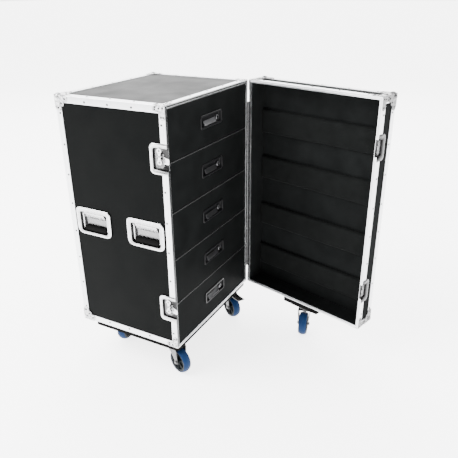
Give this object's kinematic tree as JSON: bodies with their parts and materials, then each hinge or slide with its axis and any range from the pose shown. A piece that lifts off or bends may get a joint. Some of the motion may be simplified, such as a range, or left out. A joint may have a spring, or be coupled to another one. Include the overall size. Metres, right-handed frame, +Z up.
{
  "type": "equipment rack case",
  "caption": "Upright flight case on swivel castors with drawers on runners behind a deep hinged door that has foam bars and its own castor.",
  "frame": {"origin": "on the floor, under the middle of the bounding box of the object with its door open as stored", "axes": "+X to the right seen from the front, towards the hinge side; +Y from the drawer fronts to the back; +Z up"},
  "size_m": [0.6798, 1.0457, 1.0555],
  "materials": {
    "black_laminate": "satin phenolic laminate on birch plywood",
    "edging_aluminium": "natural anodised",
    "runner_steel": "zinc plated",
    "board_black": "matt black paint, with zinc plated castor plates",
    "door_foam": "closed-cell foam",
    "grip_rubber": "matt moulded rubber on a steel bail",
    "pull_chrome": "polished",
    "drawer_board": "satin black",
    "wheel_blue": "blue elastic rubber",
    "zinc_plate": "bright zinc"
  },
  "bodies": {
    "case": {"left_panel": "black_laminate", "right_panel": "black_laminate", "top_panel": "black_laminate", "bottom_panel": "black_laminate", "back_panel": "black_laminate", "front_rim": "edging_aluminium", "body_edging": "edging_aluminium", "left_runners": "runner_steel", "right_runners": "runner_steel", "left_front_grip_dish": "zinc_plate", "left_rear_grip_dish": "zinc_plate", "right_front_grip_dish": "zinc_plate", "right_rear_grip_dish": "zinc_plate", "upper_latch_dish": "zinc_plate", "lower_latch_dish": "zinc_plate", "hinge_body_leaf": "edging_aluminium", "body_wheel_board": "board_black"},
    "door": {"door_side_walls": "black_laminate", "door_face_panel": "black_laminate", "door_rim": "edging_aluminium", "door_edging": "edging_aluminium", "door_foam_1": "door_foam", "door_foam_2": "door_foam", "door_foam_3": "door_foam", "door_foam_4": "door_foam", "upper_latch_catch": "zinc_plate", "lower_latch_catch": "zinc_plate", "hinge_door_leaf": "edging_aluminium", "door_wheel_board": "board_black"},
    "drawer_1": {"drawer_1": "drawer_board"},
    "drawer_1_pull": {"drawer_1_pull": "pull_chrome"},
    "drawer_2": {"drawer_2": "drawer_board"},
    "drawer_2_pull": {"drawer_2_pull": "pull_chrome"},
    "drawer_3": {"drawer_3": "drawer_board"},
    "drawer_3_pull": {"drawer_3_pull": "pull_chrome"},
    "drawer_4": {"drawer_4": "drawer_board"},
    "drawer_4_pull": {"drawer_4_pull": "pull_chrome"},
    "drawer_5": {"drawer_5": "drawer_board"},
    "drawer_5_pull": {"drawer_5_pull": "pull_chrome"},
    "left_front_grip_bar": {"left_front_grip_bar": "grip_rubber"},
    "left_rear_grip_bar": {"left_rear_grip_bar": "grip_rubber"},
    "right_front_grip_bar": {"right_front_grip_bar": "grip_rubber"},
    "right_rear_grip_bar": {"right_rear_grip_bar": "grip_rubber"},
    "upper_latch_wing": {"upper_latch_wing": "zinc_plate"},
    "upper_latch_hook": {"upper_latch_hook": "zinc_plate"},
    "lower_latch_wing": {"lower_latch_wing": "zinc_plate"},
    "lower_latch_hook": {"lower_latch_hook": "zinc_plate"},
    "front_left_castor_fork": {"front_left_castor_fork": "zinc_plate"},
    "front_left_castor_wheel": {"front_left_castor_wheel": "wheel_blue"},
    "front_right_castor_fork": {"front_right_castor_fork": "zinc_plate"},
    "front_right_castor_wheel": {"front_right_castor_wheel": "wheel_blue"},
    "front_right_castor_brake": {"front_right_castor_brake": "zinc_plate"},
    "rear_left_castor_fork": {"rear_left_castor_fork": "zinc_plate"},
    "rear_left_castor_wheel": {"rear_left_castor_wheel": "wheel_blue"},
    "rear_right_castor_fork": {"rear_right_castor_fork": "zinc_plate"},
    "rear_right_castor_wheel": {"rear_right_castor_wheel": "wheel_blue"},
    "rear_right_castor_brake": {"rear_right_castor_brake": "zinc_plate"},
    "door_castor_fork": {"door_castor_fork": "zinc_plate"},
    "door_castor_wheel": {"door_castor_wheel": "wheel_blue"}
  },
  "joints": [
    {"name": "door_hinge", "type": "hinge", "parent": "case", "child": "door", "pos_m": [0.24522, 0.06452, 0.149], "axis": [0, 0, 1], "range_deg": [-75, 100]},
    {"name": "drawer_1_slide", "type": "slide", "parent": "case", "child": "drawer_1", "axis": [0, -1, 0], "range_m": [0, 0.3]},
    {"name": "drawer_1_pull_hinge", "type": "hinge", "parent": "drawer_1", "child": "drawer_1_pull", "pos_m": [-0.04508, 0.07252, 0.9522], "axis": [-1, 0, 0], "range_deg": [0, 35], "stiffness_Nm_per_rad": 0.05},
    {"name": "drawer_2_slide", "type": "slide", "parent": "case", "child": "drawer_2", "axis": [0, -1, 0], "range_m": [0, 0.3]},
    {"name": "drawer_2_pull_hinge", "type": "hinge", "parent": "drawer_2", "child": "drawer_2_pull", "pos_m": [-0.04508, 0.07252, 0.7766], "axis": [-1, 0, 0], "range_deg": [0, 35], "stiffness_Nm_per_rad": 0.05},
    {"name": "drawer_3_slide", "type": "slide", "parent": "case", "child": "drawer_3", "axis": [0, -1, 0], "range_m": [0, 0.3]},
    {"name": "drawer_3_pull_hinge", "type": "hinge", "parent": "drawer_3", "child": "drawer_3_pull", "pos_m": [-0.04508, 0.07252, 0.601], "axis": [-1, 0, 0], "range_deg": [0, 35], "stiffness_Nm_per_rad": 0.05},
    {"name": "drawer_4_slide", "type": "slide", "parent": "case", "child": "drawer_4", "axis": [0, -1, 0], "range_m": [0, 0.3]},
    {"name": "drawer_4_pull_hinge", "type": "hinge", "parent": "drawer_4", "child": "drawer_4_pull", "pos_m": [-0.04508, 0.07252, 0.4254], "axis": [-1, 0, 0], "range_deg": [0, 35], "stiffness_Nm_per_rad": 0.05},
    {"name": "drawer_5_slide", "type": "slide", "parent": "case", "child": "drawer_5", "axis": [0, -1, 0], "range_m": [0, 0.3]},
    {"name": "drawer_5_pull_hinge", "type": "hinge", "parent": "drawer_5", "child": "drawer_5_pull", "pos_m": [-0.04508, 0.07252, 0.2498], "axis": [-1, 0, 0], "range_deg": [0, 35], "stiffness_Nm_per_rad": 0.05},
    {"name": "left_front_grip_swing", "type": "hinge", "parent": "case", "child": "left_front_grip_bar", "pos_m": [-0.32378, 0.17502, 0.622], "axis": [0, 1, 0], "range_deg": [0, 90], "stiffness_Nm_per_rad": 0.3},
    {"name": "left_rear_grip_swing", "type": "hinge", "parent": "case", "child": "left_rear_grip_bar", "pos_m": [-0.32378, 0.40652, 0.622], "axis": [0, 1, 0], "range_deg": [0, 90], "stiffness_Nm_per_rad": 0.3},
    {"name": "right_front_grip_swing", "type": "hinge", "parent": "case", "child": "right_front_grip_bar", "pos_m": [0.23362, 0.17502, 0.622], "axis": [0, 1, 0], "range_deg": [-90, 0], "stiffness_Nm_per_rad": 0.3},
    {"name": "right_rear_grip_swing", "type": "hinge", "parent": "case", "child": "right_rear_grip_bar", "pos_m": [0.23362, 0.40652, 0.622], "axis": [0, 1, 0], "range_deg": [-90, 0], "stiffness_Nm_per_rad": 0.3},
    {"name": "upper_latch_wing_turn", "type": "hinge", "parent": "case", "child": "upper_latch_wing", "pos_m": [-0.33258, 0.09452, 0.886], "axis": [1, 0, 0], "range_deg": [-180, 0]},
    {"name": "upper_latch_hook_tilt", "type": "hinge", "parent": "case", "child": "upper_latch_hook", "pos_m": [-0.32838, 0.08352, 0.876], "axis": [0, 0, -1], "range_deg": [-20, 0]},
    {"name": "lower_latch_wing_turn", "type": "hinge", "parent": "case", "child": "lower_latch_wing", "pos_m": [-0.33258, 0.09452, 0.325], "axis": [1, 0, 0], "range_deg": [-180, 0]},
    {"name": "lower_latch_hook_tilt", "type": "hinge", "parent": "case", "child": "lower_latch_hook", "pos_m": [-0.32838, 0.08352, 0.315], "axis": [0, 0, -1], "range_deg": [-20, 0]},
    {"name": "front_left_castor_swivel", "type": "hinge", "parent": "case", "child": "front_left_castor_fork", "pos_m": [-0.26658, 0.12852, 0.128], "axis": [0, 0, 1], "continuous": true},
    {"name": "front_left_castor_wheel_roll", "type": "hinge", "parent": "front_left_castor_fork", "child": "front_left_castor_wheel", "pos_m": [-0.27889, 0.09469, 0.05], "axis": [0.9397, -0.342, 0], "continuous": true},
    {"name": "front_right_castor_swivel", "type": "hinge", "parent": "case", "child": "front_right_castor_fork", "pos_m": [0.17642, 0.12852, 0.128], "axis": [0, 0, 1], "continuous": true},
    {"name": "front_right_castor_wheel_roll", "type": "hinge", "parent": "front_right_castor_fork", "child": "front_right_castor_wheel", "pos_m": [0.15897, 0.09703, 0.05], "axis": [0.8746, -0.4848, 0], "continuous": true},
    {"name": "front_right_castor_brake_press", "type": "hinge", "parent": "front_right_castor_fork", "child": "front_right_castor_brake", "pos_m": [0.15994, 0.09878, 0.116], "axis": [0.8746, -0.4848, 0], "range_deg": [0, 12]},
    {"name": "rear_left_castor_swivel", "type": "hinge", "parent": "case", "child": "rear_left_castor_fork", "pos_m": [-0.23458, 0.41852, 0.128], "axis": [0, 0, 1], "continuous": true},
    {"name": "rear_left_castor_wheel_roll", "type": "hinge", "parent": "rear_left_castor_fork", "child": "rear_left_castor_wheel", "pos_m": [-0.19893, 0.42353, 0.05], "axis": [-0.1392, 0.9903, 0], "continuous": true},
    {"name": "rear_right_castor_swivel", "type": "hinge", "parent": "case", "child": "rear_right_castor_fork", "pos_m": [0.14442, 0.41852, 0.128], "axis": [0, 0, 1], "continuous": true},
    {"name": "rear_right_castor_wheel_roll", "type": "hinge", "parent": "rear_right_castor_fork", "child": "rear_right_castor_wheel", "pos_m": [0.17866, 0.4074, 0.05], "axis": [0.309, 0.9511, 0], "continuous": true},
    {"name": "rear_right_castor_brake_press", "type": "hinge", "parent": "rear_right_castor_fork", "child": "rear_right_castor_brake", "pos_m": [0.17676, 0.40801, 0.116], "axis": [0.309, 0.9511, 0], "range_deg": [0, 12]},
    {"name": "door_castor_swivel", "type": "hinge", "parent": "door", "child": "door_castor_fork", "pos_m": [0.21484, -0.2343, 0.128], "axis": [0, 0, 1], "continuous": true},
    {"name": "door_castor_wheel_roll", "type": "hinge", "parent": "door_castor_fork", "child": "door_castor_wheel", "pos_m": [0.17963, -0.24179, 0.05], "axis": [0.2079, -0.9781, 0], "continuous": true}
  ],
  "couplings": [
    {"joint": "upper_latch_hook_tilt", "follows": "upper_latch_wing_turn", "ratio": 0.11111},
    {"joint": "lower_latch_hook_tilt", "follows": "lower_latch_wing_turn", "ratio": 0.11111}
  ]
}
